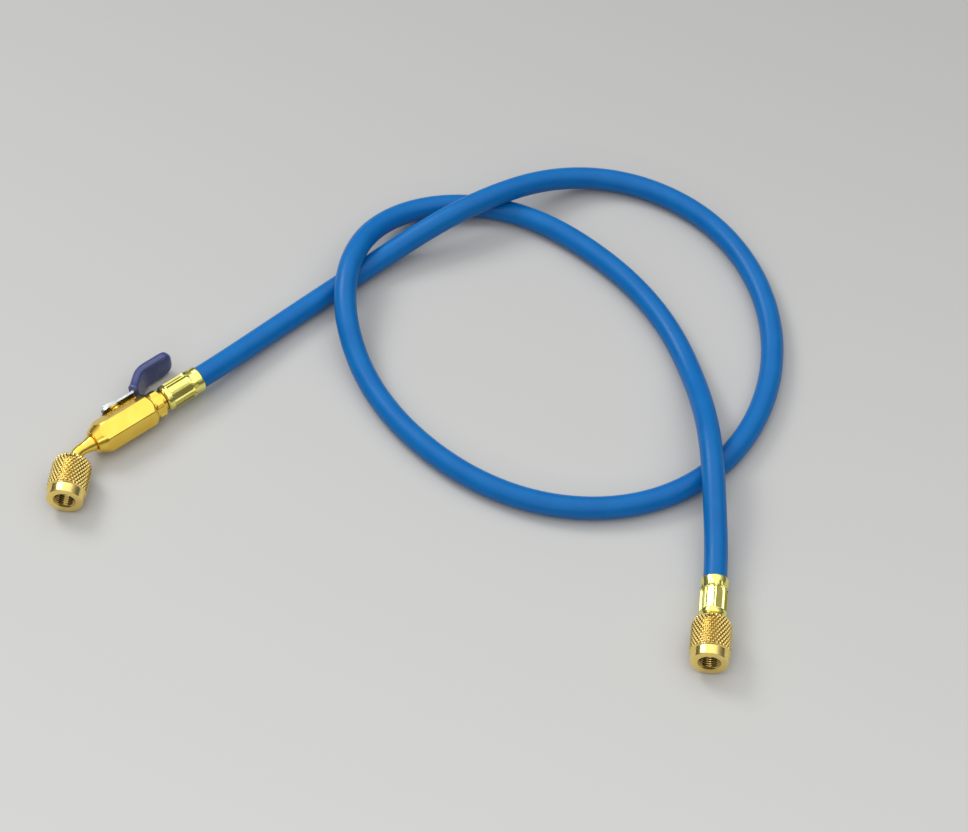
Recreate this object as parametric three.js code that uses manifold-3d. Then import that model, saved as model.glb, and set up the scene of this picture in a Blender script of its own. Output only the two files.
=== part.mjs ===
// A refrigerant charging hose with a compact ball valve on one end, lying in one loose loop.
// Millimetres, +Z up. The floor is z = 0. The origin is under the middle of the two end fittings.
// Each end fitting is built along its own X axis, from the mouth of its ferrule (x = 0) outwards.

import * as THREE from 'three';
import { mergeVertices } from 'three/addons/utils/BufferGeometryUtils.js';
import { NURBSCurve } from 'three/addons/curves/NURBSCurve.js';
import Module from 'manifold-3d';

const wasm = await Module();
wasm.setup();

// General
const GAP = 0.3;
const ROUND = 24;
const BORE_SIDES = 12;
const HEX_SIDES = 6;
const OVERCUT = 1;

// Hose
const HOSE_LENGTH = 1221.5;
const HOSE_R = 6;
const HOSE_BORE_R = 2.4;
const HOSE_SIDES = 12;
const HOSE_BORE_SIDES = 8;
const HOSE_STEPS = 60;
const HOSE_CRIMPED_R = 5.2;
const LEAD_AT_VALVE = 10.4;
const LEAD_AT_END = 15.2;

// Crimped ferrules
const FERRULE_LENGTH = 22.5;
const FERRULE_MOUTH_R = 7.1;
const FERRULE_MOUTH_LENGTH = 5;
const FERRULE_PANELS = 8;
const FERRULE_ACROSS_PANELS = 12.9;
const FERRULE_PANEL_LENGTH = 14;
const FERRULE_END_WALL = 1.7;
const FERRULE_EDGE = 0.6;
const VALVE_FERRULE_TURN = 14;
const END_FERRULE_TURN = -4.5;

// Fluid way and barbs
const WAY_R = 1.5;
const BARB_R = 2.1;
const BARB_ROOT_R = 1.8;
const BARB_COUNT = 4;
const BARB_SLOPE_SHARE = 0.8;

// Knurled swivel nuts, with a 7/16-20 UNF socket for a 1/4 inch flare
const NUT_R = 10.3;
const NUT_LENGTH = 25;
const NUT_BACK_R = 6.8;
const NUT_DOME_LENGTH = 5;
const NUT_DOME_STEPS = 3;
const NUT_BACK_WALL = 8;
const NUT_BAND_R = 9.5;
const NUT_BAND_LENGTH = 5;
const NUT_FACE_R = 9.2;
const NUT_STEP = 0.5;
const THREAD_MINOR_R = 4.95;
const THREAD_MOUTH_R = 5.7;
const THREAD_CHAMFER = 0.8;

// The seat that a swivel nut turns on
const NECK_R = 3.2;
const COLLAR_R = 4.6;
const COLLAR_LENGTH = 2.8;
const NOSE_R = 2.6;
const NOSE_LENGTH = 1.8;
const GASKET_LENGTH = 2;
const NUT_SETBACK = 1;

// Hose adapter between the ferrule and the valve
const ADAPTER_HEX = 13.6;
const ADAPTER_TURN = 17;
const ADAPTER_HEX_LENGTH = 4.8;
const ADAPTER_NECK_R = 5.2;
const ADAPTER_NECK_LENGTH = 1.9;
const ADAPTER_SPIGOT_R = 5.1;
const ADAPTER_STEP = 0.6;

// Valve body
const BODY_HEX = 16.4;
const BODY_LENGTH = 36;
const BODY_HOSE_CONE_R = 7.7;
const BODY_HOSE_CONE_LENGTH = 2;
const BODY_TUBE_CONE_R = 6.2;
const BODY_TUBE_CONE_LENGTH = 6;
const BALL_PLACE = 14.6;
const VALVE_TURN = 7;

// Ball, seats and stem
const BALL_R = 5;
const SEAT_REACH = 6.5;
const SEAT_LIP = 2.9;
const SEAT_BORE_R = 2;
const SLOT_WIDTH = 2;
const SLOT_DEPTH = 1.5;
const STEM_R = 2.5;
const STEM_COLLAR_R = 4;
const STEM_THREAD_R = 2;
const PACKING_R = 3.8;
const PACKING_LENGTH = 1.4;

// Lever
const PLATE_THICK = 1.5;
const PLATE_HEIGHT = 11;
const PLATE_STANDOFF = 2.1;
const PLATE_TAIL = 8.9;
const PLATE_CORNER = 4;
const LEVER_ARM = 11.3;
const LEVER_JOG = 15.6;
const LEVER_JOG_ANGLE = 42;
const LEVER_TIP = 17.1;
const TIP_LOW_CORNER = 6;
const TIP_TOP_CORNER = 3;
const LUG_PLACE = 4.4;
const LUG_LENGTH = 3.4;
const LUG_THICK = 1.6;
const LUG_REACH = 1.6;
const GRIP_WALL = 1.55;
const GRIP_START = 1.6;
const STEM_NUT_HEX = 5.8;
const STEM_NUT_LENGTH = 2.2;
const WASHER_R = 3.4;
const WASHER_LENGTH = 0.5;

// Bent tube
const ELBOW_SPIGOT_R = 4.1;
const ELBOW_SPIGOT_LENGTH = 5;
const ELBOW_ROOT_R = 4.4;
const ELBOW_TAPER = 6;
const ELBOW_CORNER = 11.3;
const ELBOW_ANGLE = 45;
const ELBOW_BEND_R = 11;
const ELBOW_NUT_PLACE = 5.3;
const ELBOW_STEPS = 18;

// The way that each fitting points on the floor plan
const VALVE_HEADING = 218.8;
const END_HEADING = 264.1;

// The plan of the lay, drawn for a hose of this length. It grows and shrinks with HOSE_LENGTH.
const PLAN_LENGTH = 1221.5;
const PLAN_SCALE = HOSE_LENGTH / PLAN_LENGTH;
const onPlan = ([x, y]) => [x * PLAN_SCALE, y * PLAN_SCALE];

// The two ferrule mouths
const VALVE_MOUTH_X = -99.64;
const VALVE_MOUTH_Y = 80.17;
const END_MOUTH_X = 165.79;
const END_MOUTH_Y = -47.91;
const VALVE_MOUTH = onPlan([VALVE_MOUTH_X, VALVE_MOUTH_Y]);
const END_MOUTH = onPlan([END_MOUTH_X, END_MOUTH_Y]);

// The route of the hose from the valve's ferrule to the far one. These are the control points of a
// smooth curve, each about 31 mm from the next: x, y and the rise off the floor, which is counted in
// hose thicknesses. It crosses over itself three times, in low humps.
const ROUTE = [
  [-73.64, 104.77, 0.125], [-49.14, 127.77, 0], [-24.64, 149.27, 0], [0.86, 169.27, 0.208],
  [28.86, 184.77, 1], [57.36, 200.27, 1.208], [84.36, 218.27, 0.542], [116.86, 225.27, 0],
  [147.86, 214.27, 0], [173.86, 194.27, 0], [191.86, 167.27, 0], [202.36, 136.27, 0],
  [204.86, 104.27, 0], [199.36, 71.77, 0], [185.86, 42.27, 0], [164.36, 17.77, 0],
  [135.36, 2.27, 0], [102.86, -1.73, 0], [70.86, 4.27, 0], [41.86, 19.27, 0], [17.36, 40.27, 0],
  [-3.14, 65.77, 0], [-17.64, 94.77, 0.167], [-25.64, 126.27, 1], [-21.14, 158.77, 1.208],
  [-7.14, 186.77, 0.542], [19.36, 204.27, 0.042], [52.36, 204.77, 0], [83.86, 192.27, 0],
  [111.86, 169.27, 0], [133.36, 145.27, 0], [149.86, 117.27, 0], [159.86, 86.77, 0.083],
  [165.36, 54.77, 0.792], [167.36, 22.77, 1.25], [167.36, -9.73, 0.75],
];

const radians = THREE.MathUtils.degToRad;

const finishes = {
  blueRubber: { color: 0x0b6db4, roughness: 0.38, metalness: 0 },
  brass: { color: 0xd9ac33, roughness: 0.25, metalness: 1 },
  brightBrass: { color: 0xe6dc72, roughness: 0.2, metalness: 1 },
  steel: { color: 0xcfd2d4, roughness: 0.25, metalness: 1 },
  vinyl: { color: 0x2a3587, roughness: 0.22, metalness: 0 },
  ptfe: { color: 0xf0efe9, roughness: 0.5, metalness: 0 },
  nitrile: { color: 0x17171a, roughness: 0.6, metalness: 0 },
};

// Solids: shapes from three.js, joined and cut by manifold-3d

function withoutFlatTriangles(index) {
  const kept = [];
  for (let i = 0; i < index.count; i += 3) {
    const [a, b, c] = [index.getX(i), index.getX(i + 1), index.getX(i + 2)];
    if (a !== b && b !== c && c !== a) kept.push(a, b, c);
  }
  return kept;
}

function signedVolume(positions, triangles) {
  const corner = (k) => new THREE.Vector3().fromArray(positions, 3 * triangles[k]);
  let total = 0;
  for (let i = 0; i < triangles.length; i += 3) {
    total += corner(i).dot(corner(i + 1).cross(corner(i + 2))) / 6;
  }
  return total;
}

function solid(geometry) {
  const bare = geometry.clone();
  bare.deleteAttribute('normal');
  bare.deleteAttribute('uv');
  const merged = mergeVertices(bare, 1e-4);
  const positions = merged.attributes.position.array;
  const triangles = withoutFlatTriangles(merged.index);
  if (signedVolume(positions, triangles) < 0) triangles.reverse();
  return new wasm.Manifold(new wasm.Mesh({
    numProp: 3,
    vertProperties: Float32Array.from(positions),
    triVerts: Uint32Array.from(triangles),
  }));
}

function geometryOf(shape) {
  const mesh = shape.getMesh();
  const geometry = new THREE.BufferGeometry();
  geometry.setAttribute('position', new THREE.BufferAttribute(mesh.vertProperties, 3));
  geometry.setIndex(new THREE.BufferAttribute(mesh.triVerts, 1));
  geometry.computeVertexNormals();
  return geometry;
}

// A closed outline of [x, radius] points, turned about the X axis
function turned(outline, sides = ROUND) {
  const points = [...outline, outline[0]].map(([x, radius]) => new THREE.Vector2(radius, x));
  return solid(new THREE.LatheGeometry(points, sides).rotateZ(-Math.PI / 2));
}

function rod(start, end, radius, sides = ROUND) {
  const along = new THREE.CylinderGeometry(radius, radius, end - start, sides);
  return solid(along.rotateZ(-Math.PI / 2).translate((start + end) / 2, 0, 0));
}

// A rod that stands out of the side of the valve, between two distances from its axis
function sideRod(x, near, far, radius, sides = ROUND) {
  const length = far - near;
  const along = new THREE.CylinderGeometry(radius, radius, length, sides);
  return solid(along.translate(x, -(near + far) / 2, 0));
}

function hexCorner(acrossFlats) {
  return acrossFlats / 2 / Math.cos(Math.PI / HEX_SIDES);
}

// A hexagon with two of its corners on the first axis
function hexagon(acrossFlats) {
  const corner = hexCorner(acrossFlats);
  const points = Array.from({ length: HEX_SIDES }, (_, k) => {
    const angle = k * 2 * Math.PI / HEX_SIDES;
    return new THREE.Vector2(corner * Math.cos(angle), corner * Math.sin(angle));
  });
  return new THREE.Shape(points);
}

// A hexagonal bar along X, turned by some degrees from where two of its flats are upright
function hexBar(start, end, acrossFlats, turn = 0) {
  const settings = { depth: end - start, bevelEnabled: false };
  const bar = new THREE.ExtrudeGeometry(hexagon(acrossFlats), settings);
  bar.rotateY(Math.PI / 2).rotateX(radians(turn));
  return solid(bar.translate(start, 0, 0));
}

function block(x, y, z, [dx, dy, dz]) {
  return solid(new THREE.BoxGeometry(dx, dy, dz).translate(x, y, z));
}

function circle(radius, sides) {
  const points = Array.from({ length: sides }, (_, k) => {
    const angle = (k + 0.5) * 2 * Math.PI / sides;
    return new THREE.Vector2(radius * Math.cos(angle), radius * Math.sin(angle));
  });
  return new THREE.Shape(points);
}

function sweep(radius, sides, path, steps) {
  const settings = { steps, extrudePath: path, bevelEnabled: false };
  return solid(new THREE.ExtrudeGeometry(circle(radius, sides), settings));
}

// Hose

// A point on a fitting's axis, at a distance past its mouth
function onAxis([x, y], heading, distance) {
  const turn = radians(heading);
  return [x + distance * Math.cos(turn), y + distance * Math.sin(turn), NUT_R];
}

function onRoute([x, y, rise]) {
  return [...onPlan([x, y]), HOSE_R * (1 + 2 * rise)];
}

function placeFitting(group, [x, y], heading) {
  group.position.set(x, y, NUT_R);
  group.rotation.z = radians(heading);
  group.updateMatrix();
  return group;
}

const hoseInFerrule = FERRULE_MOUTH_LENGTH - GAP;
const hoseEnd = FERRULE_LENGTH - FERRULE_END_WALL - GAP;

function hosePath() {
  const points = [
    onAxis(VALVE_MOUTH, VALVE_HEADING, hoseInFerrule),
    onAxis(VALVE_MOUTH, VALVE_HEADING, 0),
    onAxis(VALVE_MOUTH, VALVE_HEADING, -LEAD_AT_VALVE),
    ...ROUTE.map(onRoute),
    onAxis(END_MOUTH, END_HEADING, -LEAD_AT_END),
    onAxis(END_MOUTH, END_HEADING, 0),
    onAxis(END_MOUTH, END_HEADING, hoseInFerrule),
  ];
  const degree = 3;
  const spans = points.length - degree;
  const knots = Array.from({ length: points.length + degree + 1 }, (_, k) => (
    THREE.MathUtils.clamp((k - degree) / spans, 0, 1)
  ));
  const controls = points.map(([x, y, z]) => new THREE.Vector4(x, y, z, 1));
  const path = new NURBSCurve(degree, knots, controls);
  path.arcLengthDivisions = 10 * HOSE_STEPS;
  return path;
}

// Inside each ferrule the crimp squeezes the hose to a smaller size
function crimpedEnds(radius, start, end, sides) {
  const ends = [[VALVE_MOUTH, VALVE_HEADING], [END_MOUTH, END_HEADING]];
  return ends.map(([mouth, heading]) => {
    const place = placeFitting(new THREE.Group(), mouth, heading).matrix;
    return rod(start, end, radius, sides).transform(place.toArray());
  });
}

function hose() {
  const path = hosePath();
  const [atValve, atEnd] = crimpedEnds(HOSE_CRIMPED_R, hoseInFerrule - OVERCUT, hoseEnd, HOSE_SIDES);
  const [boreAtValve, boreAtEnd] = crimpedEnds(
    HOSE_BORE_R, hoseInFerrule - OVERCUT, hoseEnd + OVERCUT, HOSE_BORE_SIDES);
  const outside = sweep(HOSE_R, HOSE_SIDES, path, HOSE_STEPS).add(atValve).add(atEnd);
  const bore = sweep(HOSE_BORE_R, HOSE_BORE_SIDES, path, HOSE_STEPS).add(boreAtValve).add(boreAtEnd);
  return outside.subtract(bore);
}

// Ferrule: a round mouth, eight pressed panels and an end wall round the neck
function ferrule(turn) {
  const mouthBore = HOSE_R + GAP;
  const crimpBore = HOSE_CRIMPED_R + GAP;
  const wallStart = FERRULE_LENGTH - FERRULE_END_WALL;
  const shell = turned([
    [0, mouthBore], [0, FERRULE_MOUTH_R - FERRULE_EDGE / 2],
    [FERRULE_EDGE, FERRULE_MOUTH_R], [FERRULE_LENGTH - FERRULE_EDGE, FERRULE_MOUTH_R],
    [FERRULE_LENGTH, FERRULE_MOUTH_R - FERRULE_EDGE], [FERRULE_LENGTH, NECK_R + GAP],
    [wallStart, NECK_R + GAP], [wallStart, crimpBore],
    [FERRULE_MOUTH_LENGTH, crimpBore], [FERRULE_MOUTH_LENGTH, mouthBore],
  ]);
  const cutDepth = FERRULE_MOUTH_R;
  const middle = FERRULE_MOUTH_LENGTH + FERRULE_PANEL_LENGTH / 2;
  let crimped = shell;
  for (let k = 0; k < FERRULE_PANELS; k += 1) {
    const cutter = new THREE.BoxGeometry(FERRULE_PANEL_LENGTH, cutDepth, 2 * FERRULE_MOUTH_R);
    cutter.translate(middle, (FERRULE_ACROSS_PANELS + cutDepth) / 2, 0);
    cutter.rotateX((k + 0.5) * 2 * Math.PI / FERRULE_PANELS + radians(turn));
    crimped = crimped.subtract(solid(cutter));
  }
  return crimped;
}

// Barbs that hold the hose, as points of an outline from the tip to the shoulder
function barbOutline(tip, shoulder) {
  const pitch = (shoulder - tip) / BARB_COUNT;
  const teeth = Array.from({ length: BARB_COUNT }, (_, k) => [
    [tip + k * pitch, BARB_ROOT_R], [tip + (k + BARB_SLOPE_SHARE) * pitch, BARB_R],
  ]);
  return teeth.flat();
}

// Collar and nose of a nut's seat, from the neck to the end, as points of an outline
function seatOutline(start) {
  const noseEnd = start + COLLAR_LENGTH + NOSE_LENGTH;
  return [
    [start, NECK_R], [start, COLLAR_R], [start + COLLAR_LENGTH, COLLAR_R],
    [start + COLLAR_LENGTH, NOSE_R], [noseEnd, NOSE_R], [noseEnd, WAY_R],
  ];
}

function gasket(collarStart) {
  const start = collarStart + COLLAR_LENGTH + GAP;
  return turned([
    [start, NOSE_R + GAP], [start, COLLAR_R],
    [start + GASKET_LENGTH, COLLAR_R], [start + GASKET_LENGTH, NOSE_R + GAP],
  ]);
}

// Swivel nut, from its domed back to its open face
function swivelNut(back) {
  const face = back + NUT_LENGTH;
  const band = face - NUT_BAND_LENGTH;
  const seat = back + NUT_BACK_WALL;
  const dome = Array.from({ length: NUT_DOME_STEPS + 1 }, (_, k) => {
    const angle = k / NUT_DOME_STEPS * Math.PI / 2;
    const rise = (NUT_R - NUT_BACK_R) * Math.sin(angle);
    return [back + NUT_DOME_LENGTH * (1 - Math.cos(angle)), NUT_BACK_R + rise];
  });
  return turned([
    [back, NECK_R + GAP], ...dome, [band - NUT_STEP, NUT_R], [band, NUT_BAND_R],
    [face - NUT_STEP, NUT_BAND_R], [face, NUT_FACE_R], [face, THREAD_MOUTH_R],
    [face - THREAD_CHAMFER, THREAD_MINOR_R], [seat, THREAD_MINOR_R], [seat, NECK_R + GAP],
  ]);
}

// Far end: a barbed stem, its seat, gasket and nut

const endNutBack = FERRULE_LENGTH + NUT_SETBACK;
const endCollar = endNutBack + NUT_BACK_WALL + GAP;

function endStem() {
  const shoulder = hoseEnd + GAP;
  return turned([
    [hoseInFerrule, WAY_R], ...barbOutline(hoseInFerrule, shoulder),
    [shoulder, BARB_ROOT_R], [shoulder, NECK_R], ...seatOutline(endCollar),
  ]);
}

// Valve end, from the ferrule outwards

const adapterNeck = FERRULE_LENGTH + GAP;
const adapterHex = adapterNeck + ADAPTER_NECK_LENGTH;
const adapterHexEnd = adapterHex + ADAPTER_HEX_LENGTH;
const bodyStart = adapterHexEnd + ADAPTER_STEP + GAP;
const bodyEnd = bodyStart + BODY_LENGTH;
const ballPlace = bodyStart + BALL_PLACE;
const cavityR = ADAPTER_SPIGOT_R + GAP;
const cavityEnd = ballPlace + SEAT_REACH + GAP;
const flat = BODY_HEX / 2;

function hoseAdapter() {
  const shoulder = hoseEnd + GAP;
  const spigotEnd = ballPlace - SEAT_REACH - GAP;
  const corner = hexCorner(ADAPTER_HEX);
  const core = turned([
    [hoseInFerrule, WAY_R], ...barbOutline(hoseInFerrule, shoulder),
    [shoulder, BARB_ROOT_R], [shoulder, NECK_R], [adapterNeck, NECK_R],
    [adapterNeck, ADAPTER_NECK_R], [adapterHex + OVERCUT, ADAPTER_NECK_R],
    [adapterHex + OVERCUT, BODY_HOSE_CONE_R - ADAPTER_STEP],
    [bodyStart - GAP, BODY_HOSE_CONE_R - ADAPTER_STEP],
    [bodyStart - GAP, ADAPTER_SPIGOT_R], [spigotEnd, ADAPTER_SPIGOT_R], [spigotEnd, WAY_R],
  ]);
  const rounded = turned([
    [adapterHex, WAY_R], [adapterHex, corner - 1.5 * ADAPTER_STEP],
    [adapterHex + ADAPTER_STEP, corner], [adapterHexEnd - ADAPTER_STEP, corner],
    [adapterHexEnd, corner - 1.5 * ADAPTER_STEP], [adapterHexEnd, WAY_R],
  ]);
  return core.add(hexBar(adapterHex, adapterHexEnd, ADAPTER_HEX, ADAPTER_TURN).intersect(rounded));
}

function valveBody() {
  const corner = hexCorner(BODY_HEX) + GAP;
  const envelope = turned([
    [bodyStart, WAY_R], [bodyStart, BODY_HOSE_CONE_R],
    [bodyStart + BODY_HOSE_CONE_LENGTH, corner], [bodyEnd - BODY_TUBE_CONE_LENGTH, corner],
    [bodyEnd, BODY_TUBE_CONE_R], [bodyEnd, WAY_R],
  ]);
  const socket = bodyEnd - ELBOW_SPIGOT_LENGTH - GAP;
  return hexBar(bodyStart, bodyEnd, BODY_HEX).intersect(envelope)
    .subtract(rod(bodyStart - OVERCUT, cavityEnd, cavityR))
    .subtract(rod(cavityEnd - OVERCUT, bodyEnd, WAY_R, BORE_SIDES))
    .subtract(rod(socket, bodyEnd + OVERCUT, ELBOW_SPIGOT_R + GAP))
    .subtract(sideRod(ballPlace, 0, flat + OVERCUT, STEM_R + GAP))
    .subtract(sideRod(ballPlace, flat - PACKING_LENGTH - GAP, flat + OVERCUT, PACKING_R + GAP));
}

function ball() {
  const slot = block(ballPlace, -BALL_R, 0, [2 * BALL_R, 2 * SLOT_DEPTH, SLOT_WIDTH]);
  const sphere = solid(new THREE.SphereGeometry(BALL_R, ROUND, BORE_SIDES).translate(ballPlace, 0, 0));
  return sphere
    .subtract(rod(ballPlace - 2 * BALL_R, ballPlace + 2 * BALL_R, WAY_R, BORE_SIDES))
    .subtract(slot);
}

// A seat ring's sloping face keeps a running gap to the ball. side is 1 towards the tube, -1 back.
function ballSeat(side) {
  const slope = (BALL_R + GAP) * Math.SQRT2;
  const lipR = slope - SEAT_LIP;
  const outline = [
    [SEAT_LIP, lipR], [SEAT_LIP, ADAPTER_SPIGOT_R], [SEAT_REACH, ADAPTER_SPIGOT_R],
    [SEAT_REACH, SEAT_BORE_R], [slope - SEAT_BORE_R, SEAT_BORE_R],
  ];
  return turned(outline.map(([x, radius]) => [ballPlace + side * x, radius]));
}

// Lever stack, at distances from the valve's axis
const plateNear = flat + PLATE_STANDOFF;
const plateFar = plateNear + PLATE_THICK;
const washerNear = plateFar + GAP;
const stemNutNear = washerNear + WASHER_LENGTH + GAP;
const stemNutFar = stemNutNear + STEM_NUT_LENGTH;

function valveStem() {
  const tip = BALL_R - SLOT_DEPTH + GAP;
  const tang = block(
    ballPlace, -(tip + BALL_R + OVERCUT) / 2, 0,
    [2 * STEM_R - OVERCUT, BALL_R + OVERCUT - tip, SLOT_WIDTH - 2 * GAP]);
  return sideRod(ballPlace, BALL_R + GAP, flat + GAP + OVERCUT / 2, STEM_R)
    .add(tang)
    .add(sideRod(ballPlace, flat + GAP, plateNear - GAP, STEM_COLLAR_R))
    .add(sideRod(ballPlace, plateNear - OVERCUT, stemNutFar + GAP, STEM_THREAD_R));
}

function stemPacking() {
  return sideRod(ballPlace, flat - PACKING_LENGTH, flat, PACKING_R)
    .subtract(sideRod(ballPlace, 0, flat + OVERCUT, STEM_R + GAP));
}

function stemWasher() {
  return sideRod(ballPlace, washerNear, washerNear + WASHER_LENGTH, WASHER_R)
    .subtract(sideRod(ballPlace, 0, stemNutFar, STEM_THREAD_R + GAP));
}

function stemNut() {
  const settings = { depth: STEM_NUT_LENGTH, bevelEnabled: false };
  const bar = new THREE.ExtrudeGeometry(hexagon(STEM_NUT_HEX), settings);
  bar.rotateX(Math.PI / 2).translate(ballPlace, -stemNutNear, 0);
  return solid(bar).subtract(sideRod(ballPlace, 0, stemNutFar + OVERCUT, STEM_THREAD_R + GAP));
}

// The lever's centre line on the floor plan: along the valve, out at the jog, and along again
const leverMiddle = -(plateNear + plateFar) / 2;
const jog = radians(LEVER_JOG_ANGLE);
const leverLine = [
  new THREE.Vector2(ballPlace + PLATE_TAIL, leverMiddle),
  new THREE.Vector2(ballPlace - LEVER_ARM, leverMiddle),
];
leverLine.push(new THREE.Vector2(-Math.cos(jog), -Math.sin(jog)).multiplyScalar(LEVER_JOG)
  .add(leverLine[1]));
leverLine.push(new THREE.Vector2(-LEVER_TIP, 0).add(leverLine[2]));

// A strip of one thickness that follows a bent line, as a flat outline
function stripOutline(line, thickness) {
  const sides = [1, -1].map((side) => line.map((point, k) => {
    const into = point.clone().sub(line[Math.max(k - 1, 0)]).normalize();
    const out = line[Math.min(k + 1, line.length - 1)].clone().sub(point).normalize();
    if (k === 0) into.copy(out);
    if (k === line.length - 1) out.copy(into);
    const mitre = into.clone().add(out).normalize();
    const normal = new THREE.Vector2(-mitre.y, mitre.x);
    const reach = side * thickness / 2 / mitre.dot(into);
    return point.clone().addScaledVector(normal, reach);
  }));
  return new THREE.Shape([...sides[0], ...sides[1].reverse()]);
}

function strip(line, thickness, height) {
  const settings = { depth: height, bevelEnabled: false };
  return solid(new THREE.ExtrudeGeometry(stripOutline(line, thickness), settings)
    .translate(0, 0, -height / 2));
}

// A plate seen from the side, which trims a strip's ends. The two corners of its tip are rounder or
// sharper by cover than those of the lever's plate.
function sideTrim(xLow, xHigh, height, cover) {
  const half = height / 2;
  const low = TIP_LOW_CORNER + cover;
  const top = TIP_TOP_CORNER + cover;
  const tail = PLATE_CORNER;
  const shape = new THREE.Shape();
  shape.moveTo(xLow + low, -half);
  shape.absarc(xHigh - tail, -half + tail, tail, -Math.PI / 2, 0);
  shape.absarc(xHigh - tail, half - tail, tail, 0, Math.PI / 2);
  shape.absarc(xLow + top, half - top, top, Math.PI / 2, Math.PI);
  shape.absarc(xLow + low, -half + low, low, Math.PI, 1.5 * Math.PI);
  const reach = 2 * LEVER_JOG + 2 * BODY_HEX;
  const settings = { depth: 2 * reach, bevelEnabled: false, curveSegments: 6 };
  return solid(new THREE.ExtrudeGeometry(shape, settings).rotateX(Math.PI / 2).translate(0, reach, 0));
}

const leverTip = leverLine[3];

// The plate carries a small lug, bent outwards from its upper edge
function leverPlate() {
  const tail = leverLine[0].x;
  const lug = block(
    ballPlace + LUG_PLACE, -plateFar, (PLATE_HEIGHT - LUG_THICK) / 2, [LUG_LENGTH, 2 * LUG_REACH, LUG_THICK]);
  return strip(leverLine, PLATE_THICK, PLATE_HEIGHT)
    .intersect(sideTrim(leverTip.x, tail, PLATE_HEIGHT, 0))
    .add(lug.subtract(sideRod(ballPlace, 0, plateNear + GAP, tail)))
    .subtract(sideRod(ballPlace, 0, stemNutFar, STEM_THREAD_R + GAP));
}

function leverGrip() {
  const jogWay = leverLine[2].clone().sub(leverLine[1]).normalize();
  const start = leverLine[1].clone().addScaledVector(jogWay, GRIP_START);
  const pocketStart = start.clone().addScaledVector(jogWay, -OVERCUT);
  const sleeve = (from, cover) => {
    const tip = leverTip.clone().add(new THREE.Vector2(-cover, 0));
    const height = PLATE_HEIGHT + 2 * cover;
    return strip([from, leverLine[2], tip], PLATE_THICK + 2 * cover, height)
      .intersect(sideTrim(tip.x, ballPlace, height, cover));
  };
  return sleeve(start, GRIP_WALL + GAP).subtract(sleeve(pocketStart, GAP));
}

// Bent tube: a spigot in the body, a tapered root, a 45 degree bend and a seat for the nut
const bend = radians(ELBOW_ANGLE);
const elbowTangent = ELBOW_BEND_R * Math.tan(bend / 2);
const elbowCornerX = bodyEnd + ELBOW_CORNER;

class BentLine extends THREE.Curve {
  constructor(before, after) {
    super();
    this.before = before;
    this.arc = ELBOW_BEND_R * bend;
    this.total = before + this.arc + after;
  }

  getPoint(t) {
    const along = t * this.total;
    const arcStart = elbowCornerX - elbowTangent;
    if (along < this.before) return new THREE.Vector3(arcStart - this.before + along, 0, 0);
    const angle = Math.min((along - this.before) / ELBOW_BEND_R, bend);
    const past = Math.max(along - this.before - this.arc, 0);
    const x = arcStart + ELBOW_BEND_R * Math.sin(angle) + past * Math.cos(bend);
    const y = ELBOW_BEND_R * (1 - Math.cos(angle)) + past * Math.sin(bend);
    return new THREE.Vector3(x, y, 0);
  }
}

// What turns on the far side of the bend is built along X from the bend's corner
function pastBend(shape) {
  const place = new THREE.Matrix4().makeTranslation(elbowCornerX, 0, 0)
    .multiply(new THREE.Matrix4().makeRotationZ(bend));
  return shape.transform(place.toArray());
}

const valveCollar = ELBOW_NUT_PLACE + NUT_BACK_WALL + GAP;

function elbowTube() {
  const before = ELBOW_CORNER - elbowTangent;
  const after = valveCollar - elbowTangent;
  const seat = turned([[valveCollar - OVERCUT, WAY_R], [valveCollar - OVERCUT, NECK_R], ...seatOutline(valveCollar)]);
  const root = turned([
    [bodyEnd - ELBOW_SPIGOT_LENGTH, WAY_R], [bodyEnd - ELBOW_SPIGOT_LENGTH, ELBOW_SPIGOT_R],
    [bodyEnd, ELBOW_SPIGOT_R], [bodyEnd, ELBOW_ROOT_R], [bodyEnd + ELBOW_TAPER, NECK_R],
    [bodyEnd + ELBOW_TAPER, WAY_R],
  ]);
  const tube = sweep(NECK_R, BORE_SIDES, new BentLine(before, after), ELBOW_STEPS);
  const way = sweep(WAY_R, HOSE_BORE_SIDES, new BentLine(before + OVERCUT, after + OVERCUT), ELBOW_STEPS);
  return tube.subtract(way).add(root).add(pastBend(seat));
}

// Assembly

const valveEnd = new THREE.Group();
const turnedValve = new THREE.Group();
const endFitting = new THREE.Group();

function addTo(group, name, shape, finish) {
  const mesh = new THREE.Mesh(geometryOf(shape), new THREE.MeshStandardMaterial(finishes[finish]));
  mesh.name = name;
  group.add(mesh);
}

const part = new THREE.Group();
addTo(part, 'hose', hose(), 'blueRubber');

addTo(valveEnd, 'valve_ferrule', ferrule(VALVE_FERRULE_TURN), 'brightBrass');
addTo(valveEnd, 'hose_adapter', hoseAdapter(), 'brass');
addTo(turnedValve, 'valve_body', valveBody(), 'brass');
addTo(turnedValve, 'ball', ball(), 'steel');
addTo(turnedValve, 'ball_seat_tube_side', ballSeat(1), 'ptfe');
addTo(turnedValve, 'ball_seat_hose_side', ballSeat(-1), 'ptfe');
addTo(turnedValve, 'valve_stem', valveStem(), 'brass');
addTo(turnedValve, 'stem_packing', stemPacking(), 'ptfe');
addTo(turnedValve, 'lever_plate', leverPlate(), 'steel');
addTo(turnedValve, 'lever_grip', leverGrip(), 'vinyl');
addTo(turnedValve, 'stem_washer', stemWasher(), 'steel');
addTo(turnedValve, 'stem_nut', stemNut(), 'steel');
addTo(valveEnd, 'elbow_tube', elbowTube(), 'brass');
addTo(valveEnd, 'valve_gasket', pastBend(gasket(valveCollar)), 'nitrile');
addTo(valveEnd, 'valve_swivel_nut', pastBend(swivelNut(ELBOW_NUT_PLACE)), 'brass');

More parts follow.
